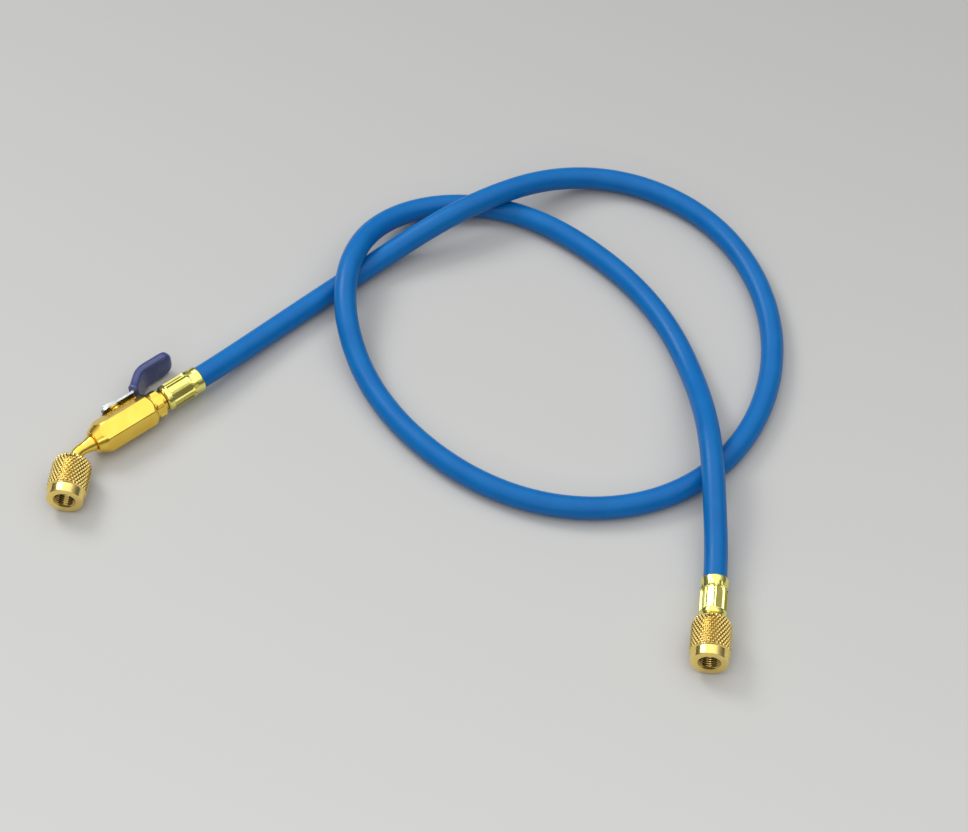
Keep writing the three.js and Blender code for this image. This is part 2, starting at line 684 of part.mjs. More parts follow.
addTo(endFitting, 'end_ferrule', ferrule(END_FERRULE_TURN), 'brightBrass');
addTo(endFitting, 'end_stem', endStem(), 'brass');
addTo(endFitting, 'end_gasket', gasket(endCollar), 'nitrile');
addTo(endFitting, 'end_swivel_nut', swivelNut(endNutBack), 'brass');

// The valve is screwed up a little past level, so that its lever leans towards the floor
turnedValve.rotation.x = radians(VALVE_TURN);
valveEnd.add(turnedValve);
part.add(placeFitting(valveEnd, VALVE_MOUTH, VALVE_HEADING));
part.add(placeFitting(endFitting, END_MOUTH, END_HEADING));

export default part;
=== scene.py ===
# %% [markdown]
# A refrigerant charging hose: a blue rubber hose that lies in one loose loop on the floor, with a
# knurled swivel nut at each end and a small lever ball valve at one of them. The rigid parts come
# from the CAD frame at their real size. This lesson gives them their machined detail, lays the hose
# along its route and makes the metals and the rubber look like themselves.

# %% Load the frame
import bmesh
import bpy
import math
from mathutils import Matrix, Vector


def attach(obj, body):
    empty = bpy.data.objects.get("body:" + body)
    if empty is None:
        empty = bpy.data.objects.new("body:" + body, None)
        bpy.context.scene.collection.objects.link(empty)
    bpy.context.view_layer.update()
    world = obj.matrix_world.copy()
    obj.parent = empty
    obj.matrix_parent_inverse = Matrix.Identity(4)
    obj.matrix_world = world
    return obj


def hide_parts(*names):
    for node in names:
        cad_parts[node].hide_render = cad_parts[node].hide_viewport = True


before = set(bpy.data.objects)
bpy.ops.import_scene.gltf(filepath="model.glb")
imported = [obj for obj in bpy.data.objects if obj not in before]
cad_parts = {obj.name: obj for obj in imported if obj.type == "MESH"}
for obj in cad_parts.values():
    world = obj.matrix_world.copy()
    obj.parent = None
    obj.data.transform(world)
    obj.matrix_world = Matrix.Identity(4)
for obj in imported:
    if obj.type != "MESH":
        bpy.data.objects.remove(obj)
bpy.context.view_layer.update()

# %% [markdown]
# The camera looks down on the floor at 53 degrees through a long lens, so things far away are almost
# as large as things close by. It could be placed by eye, but its height and distance follow from the
# angle, so only three numbers are chosen: the angle, the lens and the distance.

# %% Camera
MM = 0.001
VIEW_ANGLE = math.radians(53)
VIEW_DISTANCE = 1.574
VIEW_TARGET = Vector((0.0504, 0.0633, 0))
FOCAL_PIXELS = 3000
IMAGE_WIDTH = 968

camera_data = bpy.data.cameras.new("camera")
camera_data.sensor_width = 36
camera_data.lens = camera_data.sensor_width * FOCAL_PIXELS / IMAGE_WIDTH
camera = bpy.data.objects.new("camera", camera_data)
bpy.context.scene.collection.objects.link(camera)
camera.rotation_euler = (math.pi / 2 - VIEW_ANGLE, 0, 0)
camera.location = VIEW_TARGET + VIEW_DISTANCE * Vector((0, -math.cos(VIEW_ANGLE), math.sin(VIEW_ANGLE)))
bpy.context.scene.camera = camera
print("camera height in metres:", round(camera.location.z, 3))

# %% [markdown]
# Both end fittings are built along their own X axis in millimetres, from the mouth of the ferrule
# outwards, exactly as the CAD does it. A matrix then carries each one to its place. So a profile can
# be written down once and used at both ends.

# %% Places of the two end fittings
AXIS_HEIGHT = 10.3
VALVE_MOUTH, VALVE_HEADING = (-99.64, 80.17), 218.8
END_MOUTH, END_HEADING = (165.79, -47.91), 264.1


def fitting_place(mouth, heading):
    place = Matrix.Translation((mouth[0], mouth[1], AXIS_HEIGHT))
    return place @ Matrix.Rotation(math.radians(heading), 4, "Z")


def past(place, distance, turn=0):
    """The place further along a fitting's axis, turned there by some degrees."""
    return place @ Matrix.Translation((distance, 0, 0)) @ Matrix.Rotation(math.radians(turn), 4, "Z")


VALVE = fitting_place(VALVE_MOUTH, VALVE_HEADING)
END = fitting_place(END_MOUTH, END_HEADING)

FERRULE_LENGTH = 22.5
BODY_START = 30.4
BODY_LENGTH = 36
BODY_END = BODY_START + BODY_LENGTH
BALL_PLACE = BODY_START + 14.6
VALVE_TURN = 7
ELBOW_CORNER = BODY_END + 11.3
ELBOW_TURN = 45
NUT_LENGTH = 25
VALVE_NUT = past(VALVE, ELBOW_CORNER, ELBOW_TURN) @ Matrix.Translation((5.3, 0, 0))
END_NUT = past(END, FERRULE_LENGTH + 1)


def rolled(place, degrees):
    """The place turned about its own axis."""
    return place @ Matrix.Rotation(math.radians(degrees), 4, "X")


TURNED_VALVE = rolled(VALVE, VALVE_TURN)

# %% [markdown]
# Helpers for turned parts. A lathe cuts a profile, so each of these pieces starts as a short chain
# of points that bmesh spins about the X axis. Where the real part is then milled, knurled, threaded
# or crimped, the spun rings are moved in or out by a rule that knows the place along the axis and
# the angle round it. That keeps one clean grid of faces, with no booleans to go wrong.

# %% Turned parts
TURN = 2 * math.pi


def rounded(points, radius, steps=3):
    """The open outline with its corners rounded, where its sides are long enough."""
    outline = [Vector(points[0])]
    for before, corner, after in zip(points, points[1:], points[2:]):
        before, corner, after = Vector(before), Vector(corner), Vector(after)
        reach = min(radius, (before - corner).length / 2.2, (after - corner).length / 2.2)
        start = corner + reach * (before - corner).normalized()
        end = corner + reach * (after - corner).normalized()
        for k in range(steps + 1):
            t = k / steps
            outline.append(start.lerp(corner, t).lerp(corner.lerp(end, t), t))
    outline.append(Vector(points[-1]))
    return outline


def between(start, end, step):
    """Points from start to end, no further apart than step."""
    start, end = Vector(start), Vector(end)
    count = max(1, math.ceil((end - start).length / step))
    return [start.lerp(end, k / count) for k in range(count + 1)]


def spun(outline, columns=96):
    """The closed outline of (x, radius) points, spun once round the X axis."""
    bm = bmesh.new()
    verts = [bm.verts.new((x, 0, radius)) for x, radius in outline]
    edges = [bm.edges.new(pair) for pair in zip(verts, verts[1:] + verts[:1])]
    bmesh.ops.spin(
        bm, geom=verts + edges, cent=(0, 0, 0), axis=(1, 0, 0), dvec=(0, 0, 0),
        angle=TURN, steps=columns, use_merge=True, use_normal_flip=False, use_duplicate=False)
    bmesh.ops.remove_doubles(bm, verts=bm.verts, dist=1e-5)
    bmesh.ops.recalc_face_normals(bm, faces=bm.faces)
    return bm


def reshape(bm, rule):
    """Moves each point to the radius that rule(x, radius, angle) gives it. The rule's second answer,
    0 to 1, is how much painted shade the point gets, and is kept for the material."""
    painted_groove_shade = bm.verts.layers.float.new("painted_groove_shade")
    for vert in bm.verts:
        x, y, z = vert.co
        radius = math.hypot(y, z)
        wanted, vert[painted_groove_shade] = rule(x, radius, math.atan2(z, y))
        vert.co = (x, y * wanted / radius, z * wanted / radius)


def saved(bm, name, place, material, body, sharp=35, replaces=()):
    bmesh.ops.transform(bm, matrix=Matrix.Scale(MM, 4) @ place, verts=bm.verts)
    mesh = bpy.data.meshes.new(name)
    bm.to_mesh(mesh)
    bm.free()
    mesh.shade_smooth()
    mesh.set_sharp_from_angle(angle=math.radians(sharp))
    piece = bpy.data.objects.new(name, mesh)
    bpy.context.scene.collection.objects.link(piece)
    mesh.materials.append(material)
    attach(piece, body)
    if replaces:
        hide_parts(*replaces)
    print(name, "faces:", len(mesh.polygons))
    return piece


# %% [markdown]
# Every finish is made of nodes, with no pictures. These helpers make a material, add a node with its
# settings, turn a value into a colour, and give the coordinates of a fitting, whose X runs along
# its axis. They take the object's own coordinates, so the pattern stays on a piece that moves.

# %% Node helpers
def new_material(name):
    material = bpy.data.materials.new(name)
    material.use_nodes = True
    nodes = material.node_tree.nodes
    return material, nodes, material.node_tree.links, nodes["Principled BSDF"]


def add(nodes, kind, **settings):
    node = nodes.new(kind)
    for key, value in settings.items():
        if key in node.bl_rna.properties:
            setattr(node, key, value)
        else:
            node.inputs[key.replace("_", " ")].default_value = value
    return node


def ramp(nodes, links, source, stops):
    """A colour ramp from a value. stops are (position, colour) pairs."""
    node = nodes.new("ShaderNodeValToRGB")
    elements = node.color_ramp.elements
    while len(elements) < len(stops):
        elements.new(0.5)
    for element, (position, colour) in zip(elements, stops):
        element.position = position
        element.color = (*colour, 1)
    links.new(source, node.inputs["Fac"])
    return node.outputs["Color"]


def grey(value):
    return (value, value, value)


def axis_coordinates(nodes, links, heading):
    """Object coordinates turned so that their X runs along a fitting's axis."""
    source = nodes.new("ShaderNodeTexCoord")
    mapping = nodes.new("ShaderNodeMapping")
    mapping.inputs["Rotation"].default_value = (0, 0, -math.radians(heading))
    links.new(source.outputs["Object"], mapping.inputs["Vector"])
    return mapping.outputs["Vector"]


# %% [markdown]
# Brass is one metal here, but it shows in three finishes: warm on the valve, lighter on the nuts, and
# pale and greenish on the pressed ferrules. Each gets a little colour change from broad noise, fine
# turning marks as bands across the axis, and a roughness that varies. Grooves, threads and the nut's
# mouth and bore get painted shade: the attribute that a rule left on each point darkens the colour.

# %% Brass
# The darkest colour of the painted shade in grooves, threads and the nut's bore.
PAINTED_SHADE_DARKEST = (0.12, 0.07, 0.04)


def brass(name, heading, light, dark, rough, marks=0.04):
    material, nodes, links, shader = new_material(name)
    place = axis_coordinates(nodes, links, heading)
    cloud = add(nodes, "ShaderNodeTexNoise", Scale=140.0, Detail=4.0)
    links.new(place, cloud.inputs["Vector"])
    # The attribute that the rules left is painted shade, and the ramp below darkens the metal with it.
    painted_groove_shade = nodes.new("ShaderNodeAttribute")
    painted_groove_shade.attribute_name = "painted_groove_shade"
    shaded = nodes.new("ShaderNodeVectorMath")
    shaded.operation = "MULTIPLY"
    metal = ramp(nodes, links, cloud.outputs["Fac"], [(0.3, dark), (0.7, light)])
    shade = ramp(nodes, links, painted_groove_shade.outputs["Fac"], [(0.2, grey(1.0)), (0.95, PAINTED_SHADE_DARKEST)])
    links.new(metal, shaded.inputs[0])
    links.new(shade, shaded.inputs[1])
    links.new(shaded.outputs["Vector"], shader.inputs["Base Color"])
    stretch = nodes.new("ShaderNodeMapping")
    stretch.inputs["Scale"].default_value = (9000, 60, 60)
    links.new(place, stretch.inputs["Vector"])
    turning = add(nodes, "ShaderNodeTexNoise", Scale=1.0, Detail=2.0)
    links.new(stretch.outputs["Vector"], turning.inputs["Vector"])
    bump = add(nodes, "ShaderNodeBump", Strength=marks, Distance=0.00005)
    links.new(turning.outputs["Fac"], bump.inputs["Height"])
    links.new(bump.outputs["Normal"], shader.inputs["Normal"])
    uneven = [(0.35, grey(rough * 0.75)), (0.75, grey(rough * 1.35))]
    links.new(ramp(nodes, links, cloud.outputs["Fac"], uneven), shader.inputs["Roughness"])
    shader.inputs["Metallic"].default_value = 1
    return material


GOLD, GOLD_DARK = (0.95, 0.68, 0.12), (0.90, 0.60, 0.08)
LIGHT_GOLD, LIGHT_GOLD_DARK = (0.97, 0.76, 0.26), (0.93, 0.69, 0.20)
PALE, PALE_DARK = (0.94, 0.88, 0.28), (0.88, 0.80, 0.20)
valve_brass = brass("valve_brass", VALVE_HEADING, GOLD, GOLD_DARK, 0.2)
valve_nut_brass = brass(
    "valve_nut_brass", VALVE_HEADING + ELBOW_TURN, LIGHT_GOLD, LIGHT_GOLD_DARK, 0.17)
end_brass = brass("end_brass", END_HEADING, LIGHT_GOLD, LIGHT_GOLD_DARK, 0.17)
valve_ferrule_brass = brass("valve_ferrule_brass", VALVE_HEADING, PALE, PALE_DARK, 0.17)
end_ferrule_brass = brass("end_ferrule_brass", END_HEADING, PALE, PALE_DARK, 0.17)


# %% [markdown]
# The other finishes differ less, so one function makes them: a colour and a roughness that both
# wander with noise, and a fine relief where the surface has one. The grip is dipped vinyl, which
# dries with a smooth skin, so it also gets a thin clear coat.

# %% Plated steel, vinyl, rubber and PTFE
def plain(name, light, dark, rough, scale, metallic=0.0, coat=0.0, relief=0.0):
    material, nodes, links, shader = new_material(name)
    source = nodes.new("ShaderNodeTexCoord")
    cloud = add(nodes, "ShaderNodeTexNoise", Scale=scale, Detail=5.0)
    links.new(source.outputs["Object"], cloud.inputs["Vector"])
    colour = ramp(nodes, links, cloud.outputs["Fac"], [(0.3, dark), (0.7, light)])
    links.new(colour, shader.inputs["Base Color"])
    uneven = [(0.3, grey(rough * 0.8)), (0.7, grey(rough * 1.25))]
    links.new(ramp(nodes, links, cloud.outputs["Fac"], uneven), shader.inputs["Roughness"])
    if relief:
        bump = add(nodes, "ShaderNodeBump", Strength=relief, Distance=0.0001)
        links.new(cloud.outputs["Fac"], bump.inputs["Height"])
        links.new(bump.outputs["Normal"], shader.inputs["Normal"])
    shader.inputs["Metallic"].default_value = metallic
    shader.inputs["Coat Weight"].default_value = coat
    return material


steel = plain(
    "plated_steel", (0.86, 0.87, 0.88), (0.72, 0.74, 0.76), 0.2, 300, metallic=1.0, relief=0.05)
vinyl = plain(
    "dipped_vinyl", (0.040, 0.055, 0.20), (0.030, 0.046, 0.16), 0.28, 90, coat=0.5, relief=0.08)
ptfe = plain("ptfe", (0.86, 0.85, 0.82), (0.80, 0.79, 0.75), 0.5, 200)
nitrile = plain("nitrile", (0.02, 0.02, 0.022), (0.012, 0.012, 0.014), 0.55, 400, relief=0.1)

# %% [markdown]
# The hose is the cord of this object. Its route is a list of control points of one smooth curve, the
# same points that the CAD tube follows: x and y in millimetres, and the rise off the floor counted
# in hose thicknesses. A NURBS curve with a round bevel makes an even tube. Its mesh is taken, so that
# the rubber can use the UV map, which runs along the hose and round it.

# %% Hose
HOSE_R = 6
HOSE_INSIDE_FERRULE = 4.7
LEAD_AT_VALVE, LEAD_AT_END = 10.4, 15.2
ROUTE = [
    (-73.64, 104.77, 0.125), (-49.14, 127.77, 0), (-24.64, 149.27, 0), (0.86, 169.27, 0.208),
    (28.86, 184.77, 1), (57.36, 200.27, 1.208), (84.36, 218.27, 0.542), (116.86, 225.27, 0),
    (147.86, 214.27, 0), (173.86, 194.27, 0), (191.86, 167.27, 0), (202.36, 136.27, 0),
    (204.86, 104.27, 0), (199.36, 71.77, 0), (185.86, 42.27, 0), (164.36, 17.77, 0), (135.36, 2.27, 0),
    (102.86, -1.73, 0), (70.86, 4.27, 0), (41.86, 19.27, 0), (17.36, 40.27, 0), (-3.14, 65.77, 0),
    (-17.64, 94.77, 0.167), (-25.64, 126.27, 1), (-21.14, 158.77, 1.208), (-7.14, 186.77, 0.542),
    (19.36, 204.27, 0.042), (52.36, 204.77, 0), (83.86, 192.27, 0), (111.86, 169.27, 0),
    (133.36, 145.27, 0), (149.86, 117.27, 0), (159.86, 86.77, 0.083), (165.36, 54.77, 0.792),
    (167.36, 22.77, 1.25), (167.36, -9.73, 0.75),
]
end_mouth = END @ Vector((0, 0, 0))
route = [VALVE @ Vector((along, 0, 0)) for along in (HOSE_INSIDE_FERRULE, 0, -LEAD_AT_VALVE)]
route += [Vector((x, y, HOSE_R * (1 + 2 * rise))) for x, y, rise in ROUTE]
route += [END @ Vector((along, 0, 0)) for along in (-LEAD_AT_END, 0, HOSE_INSIDE_FERRULE)]


def route_curve(name, bevel, smoothness):
    data = bpy.data.curves.new(name, "CURVE")
    data.dimensions = "3D"
    spline = data.splines.new("NURBS")
    spline.points.add(len(route) - 1)
    for point, place in zip(spline.points, route):
        point.co = (*(place * MM), 1)
    spline.order_u = 4
    spline.use_endpoint_u = True
    spline.resolution_u = smoothness
    data.bevel_depth = bevel
    data.bevel_resolution = 10
    data.use_fill_caps = bevel > 0
    return bpy.data.objects.new(name, data)


def mesh_of(curve):
    """The mesh of a curve object, which is then removed."""
    bpy.context.scene.collection.objects.link(curve)
    bpy.context.view_layer.update()
    ready = curve.evaluated_get(bpy.context.evaluated_depsgraph_get())
    mesh = bpy.data.meshes.new_from_object(ready)
    bpy.data.objects.remove(curve)
    return mesh


centre_line = [vert.co.copy() for vert in mesh_of(route_curve("centre", 0, 8)).vertices]
hose_length = sum((b - a).length for a, b in zip(centre_line, centre_line[1:]))
print("hose length in metres:", round(hose_length, 4), "points:", len(centre_line))

# %% [markdown]
# Blue rubber. The photograph shows a clean, slightly glossy cover. Under it lies a fibre braid, and
# its threads show through as a very shallow diamond relief, which the highlight picks out. The UV map
# gives the pattern its lengths: its V runs round the hose and its U along it.

# %% Hose rubber
BRAID_STARTS = 22
BRAID_PITCH = 0.0045
BLUE, DEEP_BLUE = (0.001, 0.150, 0.46), (0.001, 0.130, 0.42)


def hose_rubber(length):
    material, nodes, links, shader = new_material("blue_hose_rubber")
    uv = nodes.new("ShaderNodeUVMap")
    uv.uv_map = "along"
    waves = []
    for way in (1, -1):
        turn = nodes.new("ShaderNodeVectorMath")
        turn.operation = "DOT_PRODUCT"
        turn.inputs[1].default_value = (length / BRAID_PITCH * TURN, way * BRAID_STARTS * TURN, 0)
        links.new(uv.outputs["UV"], turn.inputs[0])
        wave = add(nodes, "ShaderNodeMath", operation="SINE")
        links.new(turn.outputs["Value"], wave.inputs[0])
        waves.append(wave)
    braid = add(nodes, "ShaderNodeMath", operation="MAXIMUM")
    for k, wave in enumerate(waves):
        links.new(wave.outputs[0], braid.inputs[k])
    source = nodes.new("ShaderNodeTexCoord")
    cloud = add(nodes, "ShaderNodeTexNoise", Scale=70.0, Detail=5.0)
    links.new(source.outputs["Object"], cloud.inputs["Vector"])
    blue = ramp(nodes, links, cloud.outputs["Fac"], [(0.3, DEEP_BLUE), (0.7, BLUE)])
    uneven = ramp(nodes, links, cloud.outputs["Fac"], [(0.3, grey(0.30)), (0.7, grey(0.40))])
    links.new(blue, shader.inputs["Base Color"])
    links.new(uneven, shader.inputs["Roughness"])
    shader.inputs["Specular IOR Level"].default_value = 0.2
    relief = add(nodes, "ShaderNodeBump", Strength=0.12, Distance=0.0001)
    links.new(braid.outputs[0], relief.inputs["Height"])
    links.new(relief.outputs["Normal"], shader.inputs["Normal"])
    return material


hose_mesh = mesh_of(route_curve("hose", HOSE_R * MM, 8))
hose_mesh.uv_layers[0].name = "along"
hose_mesh.shade_smooth()
hose_mesh.set_sharp_from_angle(angle=math.radians(50))
hose_mesh.materials.clear()
hose_mesh.materials.append(hose_rubber(hose_length))
hose = bpy.data.objects.new("charging_hose", hose_mesh)
bpy.context.scene.collection.objects.link(hose)
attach(hose, "root")
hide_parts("hose")

# %% [markdown]
# The swivel nuts are what the eye goes to. The real knurl is rolled: two sets of crossed grooves
# leave small diamonds that run over the rounded back. A bump map would leave the outline smooth, so
# the diamonds are real here. The spun grid has eight columns and ten rings to each diamond, and the
# rule lowers the points that lie near a groove. The socket's thread is made the same way, with a
# groove that climbs once round the bore for each pitch.

# %% Knurled swivel nuts
NUT_TIP_R = 10.3
NUT_BACK_R = 6.8
DOME = 5.0
KNURL_START, KNURL_END = 1.2, 19.4
KNURLS = 32
KNURL_PITCH = 3.0
KNURL_DEPTH = 0.7
BAND_R, FACE_R = 9.5, 9.2
NECK_HOLE_R = 3.5
MOUTH_R = 5.85
SEAT_DEPTH = 8
THREAD_MINOR, THREAD_DEPTH, THREAD_PITCH = 4.95, 0.58, 1.27
SOCKET_END = 12.6


def triangle_wave(value):
    """0 at every whole number and 1 halfway between."""
    return 1 - abs(2 * (value % 1) - 1)


def ease(value):
    value = min(max(value, 0), 1)
    return value * value * (3 - 2 * value)


def dome_radius(x):
    """The nut's outside before it is knurled."""
    t = min(x / DOME, 1)
    return NUT_BACK_R + (NUT_TIP_R - NUT_BACK_R) * math.sqrt(max(1 - (1 - t) ** 2, 0))


def nut_rule(x, radius, angle):
    # The second answer is painted shade: darker in the knurl's grooves, the thread, the mouth and the
    # bore behind the seat.
    turn = angle / TURN
    if radius > dome_radius(x) - 0.02 and KNURL_START < x < KNURL_END:
        along = x / KNURL_PITCH
        height = min(triangle_wave(KNURLS * turn + along), triangle_wave(KNURLS * turn - along))
        painted_falloff = ease((x - KNURL_START) / 1.2) * ease((KNURL_END - x) / 0.5)
        deep = (1 - min(1.5 * height, 1)) * painted_falloff
        return radius - KNURL_DEPTH * deep, 0.85 * deep
    if radius < THREAD_MINOR + 0.02 and x > SOCKET_END:
        deep = min(max(1.3 * triangle_wave(x / THREAD_PITCH + turn) - 0.15, 0), 1)
        deep *= ease((x - SOCKET_END) / 1.5) * ease((NUT_LENGTH - 0.6 - x) / 0.5)
        return radius + THREAD_DEPTH * deep, 0.45 + 0.55 * deep
    if radius < MOUTH_R and x > NUT_LENGTH - 0.8:
        return radius, 0.6
    return radius, 1.0 if radius < THREAD_MINOR + 0.02 and x > SEAT_DEPTH - 0.1 else 0.0


def swivel_nut(name, place, material, body, node):
    step = KNURL_PITCH / 10
    rings = math.ceil((KNURL_END - KNURL_START) / step)
    dome = [Vector((x, dome_radius(x))) for x in (0.05, 0.2, 0.5, 0.9)]
    knurled = [KNURL_START + k * (KNURL_END - KNURL_START) / rings for k in range(rings + 1)]
    outline = rounded([(0, NECK_HOLE_R + 0.4), (0, NUT_BACK_R - 0.2)], 0.2) + dome
    outline += [Vector((x, dome_radius(x))) for x in knurled]
    outline += rounded([
        (KNURL_END + 0.1, NUT_TIP_R), (KNURL_END + 0.5, BAND_R), (NUT_LENGTH - 0.5, BAND_R),
        (NUT_LENGTH, FACE_R), (NUT_LENGTH, MOUTH_R), (NUT_LENGTH - 0.6, THREAD_MINOR + 0.2)], 0.1)
    outline += between((NUT_LENGTH - 0.7, THREAD_MINOR), (SOCKET_END, THREAD_MINOR), THREAD_PITCH / 8)
    outline += [Vector(p) for p in (
        (SEAT_DEPTH, THREAD_MINOR), (SEAT_DEPTH, NECK_HOLE_R), (0.4, NECK_HOLE_R))]
    bm = spun(outline, columns=8 * KNURLS)
    reshape(bm, nut_rule)
    return saved(bm, name, place, material, body, sharp=28, replaces=[node])


swivel_nut("knurled_nut_at_valve", VALVE_NUT, valve_nut_brass, "valve_nut", "valve_swivel_nut")
swivel_nut("knurled_nut_at_end", END_NUT, end_brass, "end_nut", "end_swivel_nut")

# %% [markdown]
# A ferrule is a thin brass cup that a machine squeezes onto the hose with eight jaws. Each jaw leaves
# a long sunk panel with a round end, and the metal between two jaws stays up as a narrow rib. The
# cup is spun, and the rule sinks what lies inside the outline of a panel.

# %% Crimped ferrules
JAWS = 8
FERRULE_MOUTH_R = 7.1
RIB_R = 6.85
PANEL_START, PANEL_END = 5.4, 19.2
PANEL_HALF_WIDTH = 2.25
PANEL_FLOOR = 5.9
RIM_HEIGHT = 0.15


def ferrule_rule(x, radius, angle):
    if radius < 6.5:
        return radius, 0.0
    turn = (angle / TURN * JAWS) % 1 - 0.5
    across = turn * TURN / JAWS * radius
    low, high = PANEL_START + PANEL_HALF_WIDTH, PANEL_END - 1.0
    if x > high:
        inside = min(PANEL_HALF_WIDTH - abs(across), PANEL_END - x)
    else:
        inside = PANEL_HALF_WIDTH - math.hypot(across, max(low - x, 0))
    flat = PANEL_FLOOR / math.cos(across / radius)
    sunk = ease(inside / 0.4)
    rim = RIM_HEIGHT * ease(1 - abs(inside + 0.15) / 0.35)
    # The second answer is painted shade along the rim of each sunk panel.
    edge = ease(1 - abs(inside - 0.2) / 0.3)
    return radius + (min(flat, radius) - radius) * sunk + rim, 0.55 * edge


def crimped_ferrule(name, place, material, node):
    mouth = [(0, 6.2), (0, FERRULE_MOUTH_R), (0.6, FERRULE_MOUTH_R + 0.1),
             (3.0, FERRULE_MOUTH_R - 0.2), (5.6, RIB_R)]
    neck = [(19.6, RIB_R), (20.2, RIB_R + 0.1), (21.6, RIB_R + 0.05),
            (FERRULE_LENGTH, RIB_R - 0.9), (FERRULE_LENGTH, 3.5)]
    outline = rounded(mouth, 0.35)[:-1] + between((5.6, RIB_R), (19.4, RIB_R), 0.22)
    outline += rounded(neck, 0.4)
    outline += [Vector(p) for p in ((20.8, 3.5), (20.8, 5.5), (4.9, 5.5), (4.9, 6.2))]
    bm = spun(outline, columns=24 * JAWS)
    reshape(bm, ferrule_rule)
    return saved(bm, name, place, material, "root", sharp=40, replaces=[node])


crimped_ferrule("crimped_ferrule_at_valve", rolled(VALVE, 14), valve_ferrule_brass, "valve_ferrule")
crimped_ferrule("crimped_ferrule_at_end", rolled(END, -4.5), end_ferrule_brass, "end_ferrule")

# %% [markdown]
# The valve body is a length of hexagonal bar, turned down at both ends. Where the cone cuts the
# flats it leaves curved edges, so the rule takes the smaller of the bar's own radius at that angle
# and the cone's.

# %% Valve body
BODY_FLATS = 16.4


def hexagon_radius(flats, angle):
    """How far a hexagon reaches at an angle, with two of its flats upright."""
    sector = TURN / 6
    return flats / 2 / math.cos((angle + sector / 2) % sector - sector / 2)


def body_rule(x, radius, angle):
    if radius < 5.8:
        return radius, 0.0
    return min(radius, hexagon_radius(BODY_FLATS, angle)), 0.0


def valve_body():
    corner = BODY_FLATS / 2 / math.cos(TURN / 12) - 0.12
    end = BODY_LENGTH
    outline = rounded([(0, 5.4), (0, 7.7), (2, corner)], 0.25)[:-1]
    outline += between((0.3, 8.0), (2, corner), 0.12)
    outline += between((2, corner), (end - 6, corner), 4)[1:]
    outline += between((end - 6, corner), (end - 0.2, 6.4), 0.12)[1:]
    outline += rounded([(end, 6.2), (end, 5.2), (end - 0.9, 4.7), (end - 5, 4.7)], 0.2)
    outline += [Vector(p) for p in ((end - 5.2, 1.5), (21.4, 1.5), (21.4, 5.4))]
    bm = spun(outline, columns=36 * 6)
    reshape(bm, body_rule)
    return saved(
        bm, "hexagonal_valve_body", past(TURNED_VALVE, BODY_START), valve_brass, "root",
        sharp=20, replaces=["valve_body"])


valve_body()

# %% [markdown]
# The bent tube is one chain of extrusions. A ring is pushed out of the valve and drawn in to the
# tube's size, spun through 45 degrees, pushed on through the nut and stepped out and in again for
# the collar and the nose that the nut seals on.

# %% Bent tube
TUBE_R, TUBE_ROOT_R, BEND_R = 3.2, 4.4, 11
COLLAR_R, NOSE_R, WAY_R = 4.6, 2.6, 1.5


def pushed(bm, ring, way, length, radius, centre):
    """Extrudes a ring of edges along a direction and gives it a new radius."""
    grown = bmesh.ops.extrude_edge_only(bm, edges=ring)["geom"]
    verts = [g for g in grown if isinstance(g, bmesh.types.BMVert)]
    centre = centre + way * length
    for vert in verts:
        moved = vert.co + way * length - centre
        vert.co = centre + moved.normalized() * radius
    return [g for g in grown if isinstance(g, bmesh.types.BMEdge)], centre


def bent_tube():
    bm = bmesh.new()
    start = Matrix.Translation((-4.5, 0, 0)) @ Matrix.Rotation(math.pi / 2, 4, "Y")
    made = bmesh.ops.create_circle(bm, segments=64, radius=4.1, cap_ends=True, matrix=start)
    ring = list({edge for vert in made["verts"] for edge in vert.link_edges})
    way, centre = Vector((1, 0, 0)), Vector((-4.5, 0, 0))
    tangent = BEND_R * math.tan(math.radians(ELBOW_TURN) / 2)
    to_bend = ELBOW_CORNER - BODY_END - tangent
    steps = [(4.5, 4.1), (0.02, TUBE_ROOT_R - 0.1), (0.3, TUBE_ROOT_R), (1.6, TUBE_ROOT_R - 0.1),
             (1.6, 3.75), (1.6, 3.35), (to_bend - 5.12, TUBE_R)]
    for length, radius in steps:
        ring, centre = pushed(bm, ring, way, length, radius, centre)
    turned = bmesh.ops.spin(
        bm, geom=ring, cent=(to_bend, BEND_R, 0), axis=(0, 0, 1), dvec=(0, 0, 0),
        angle=math.radians(ELBOW_TURN), steps=20,
        use_merge=False, use_normal_flip=False, use_duplicate=False)
    ring = [g for g in turned["geom_last"] if isinstance(g, bmesh.types.BMEdge)]
    way = Vector((math.cos(math.radians(ELBOW_TURN)), math.sin(math.radians(ELBOW_TURN)), 0))
    centre = Vector((to_bend + tangent, 0, 0)) + way * tangent
    neck = 5.3 + SEAT_DEPTH + 0.3 - tangent
    collar = [(neck, TUBE_R), (0.01, COLLAR_R - 0.2), (0.2, COLLAR_R), (2.4, COLLAR_R),
              (0.2, COLLAR_R - 0.2)]
    nose = [(0.01, NOSE_R), (1.6, NOSE_R), (0.2, NOSE_R - 0.2), (0.01, WAY_R), (-4, WAY_R)]
    for length, radius in collar + nose:
        ring, centre = pushed(bm, ring, way, length, radius, centre)
    bmesh.ops.contextual_create(bm, geom=ring)
    bmesh.ops.recalc_face_normals(bm, faces=bm.faces)
    return saved(bm, "bent_tube", past(VALVE, BODY_END), valve_brass, "root",
                 replaces=["elbow_tube"])


bent_tube()

# %% [markdown]
# The grip is vinyl that the steel lever was dipped in, so it is thick and soft-edged, with a small
# bead where the dip ends. A ring with round corners is extruded from place to place along the bent
# lever, and it shrinks in an arc at the tip, more from below than from above.

# %% Lever grip
PLATE_MIDDLE = -(BODY_FLATS / 2 + 2.1 + 0.75)
LEVER_ARM, LEVER_JOG, LEVER_JOG_ANGLE = 11.3, 15.6, 42
LEVER_TIP, GRIP_OVERHANG, GRIP_START = 17.1, 1.85, 1.6
GRIP_THICK, GRIP_TALL = 5.2, 14.7
TIP_LOW_CORNER, TIP_TOP_CORNER = 7.85, 4.85
ELBOW_REACH = 4.0
TIP_END = 0.03


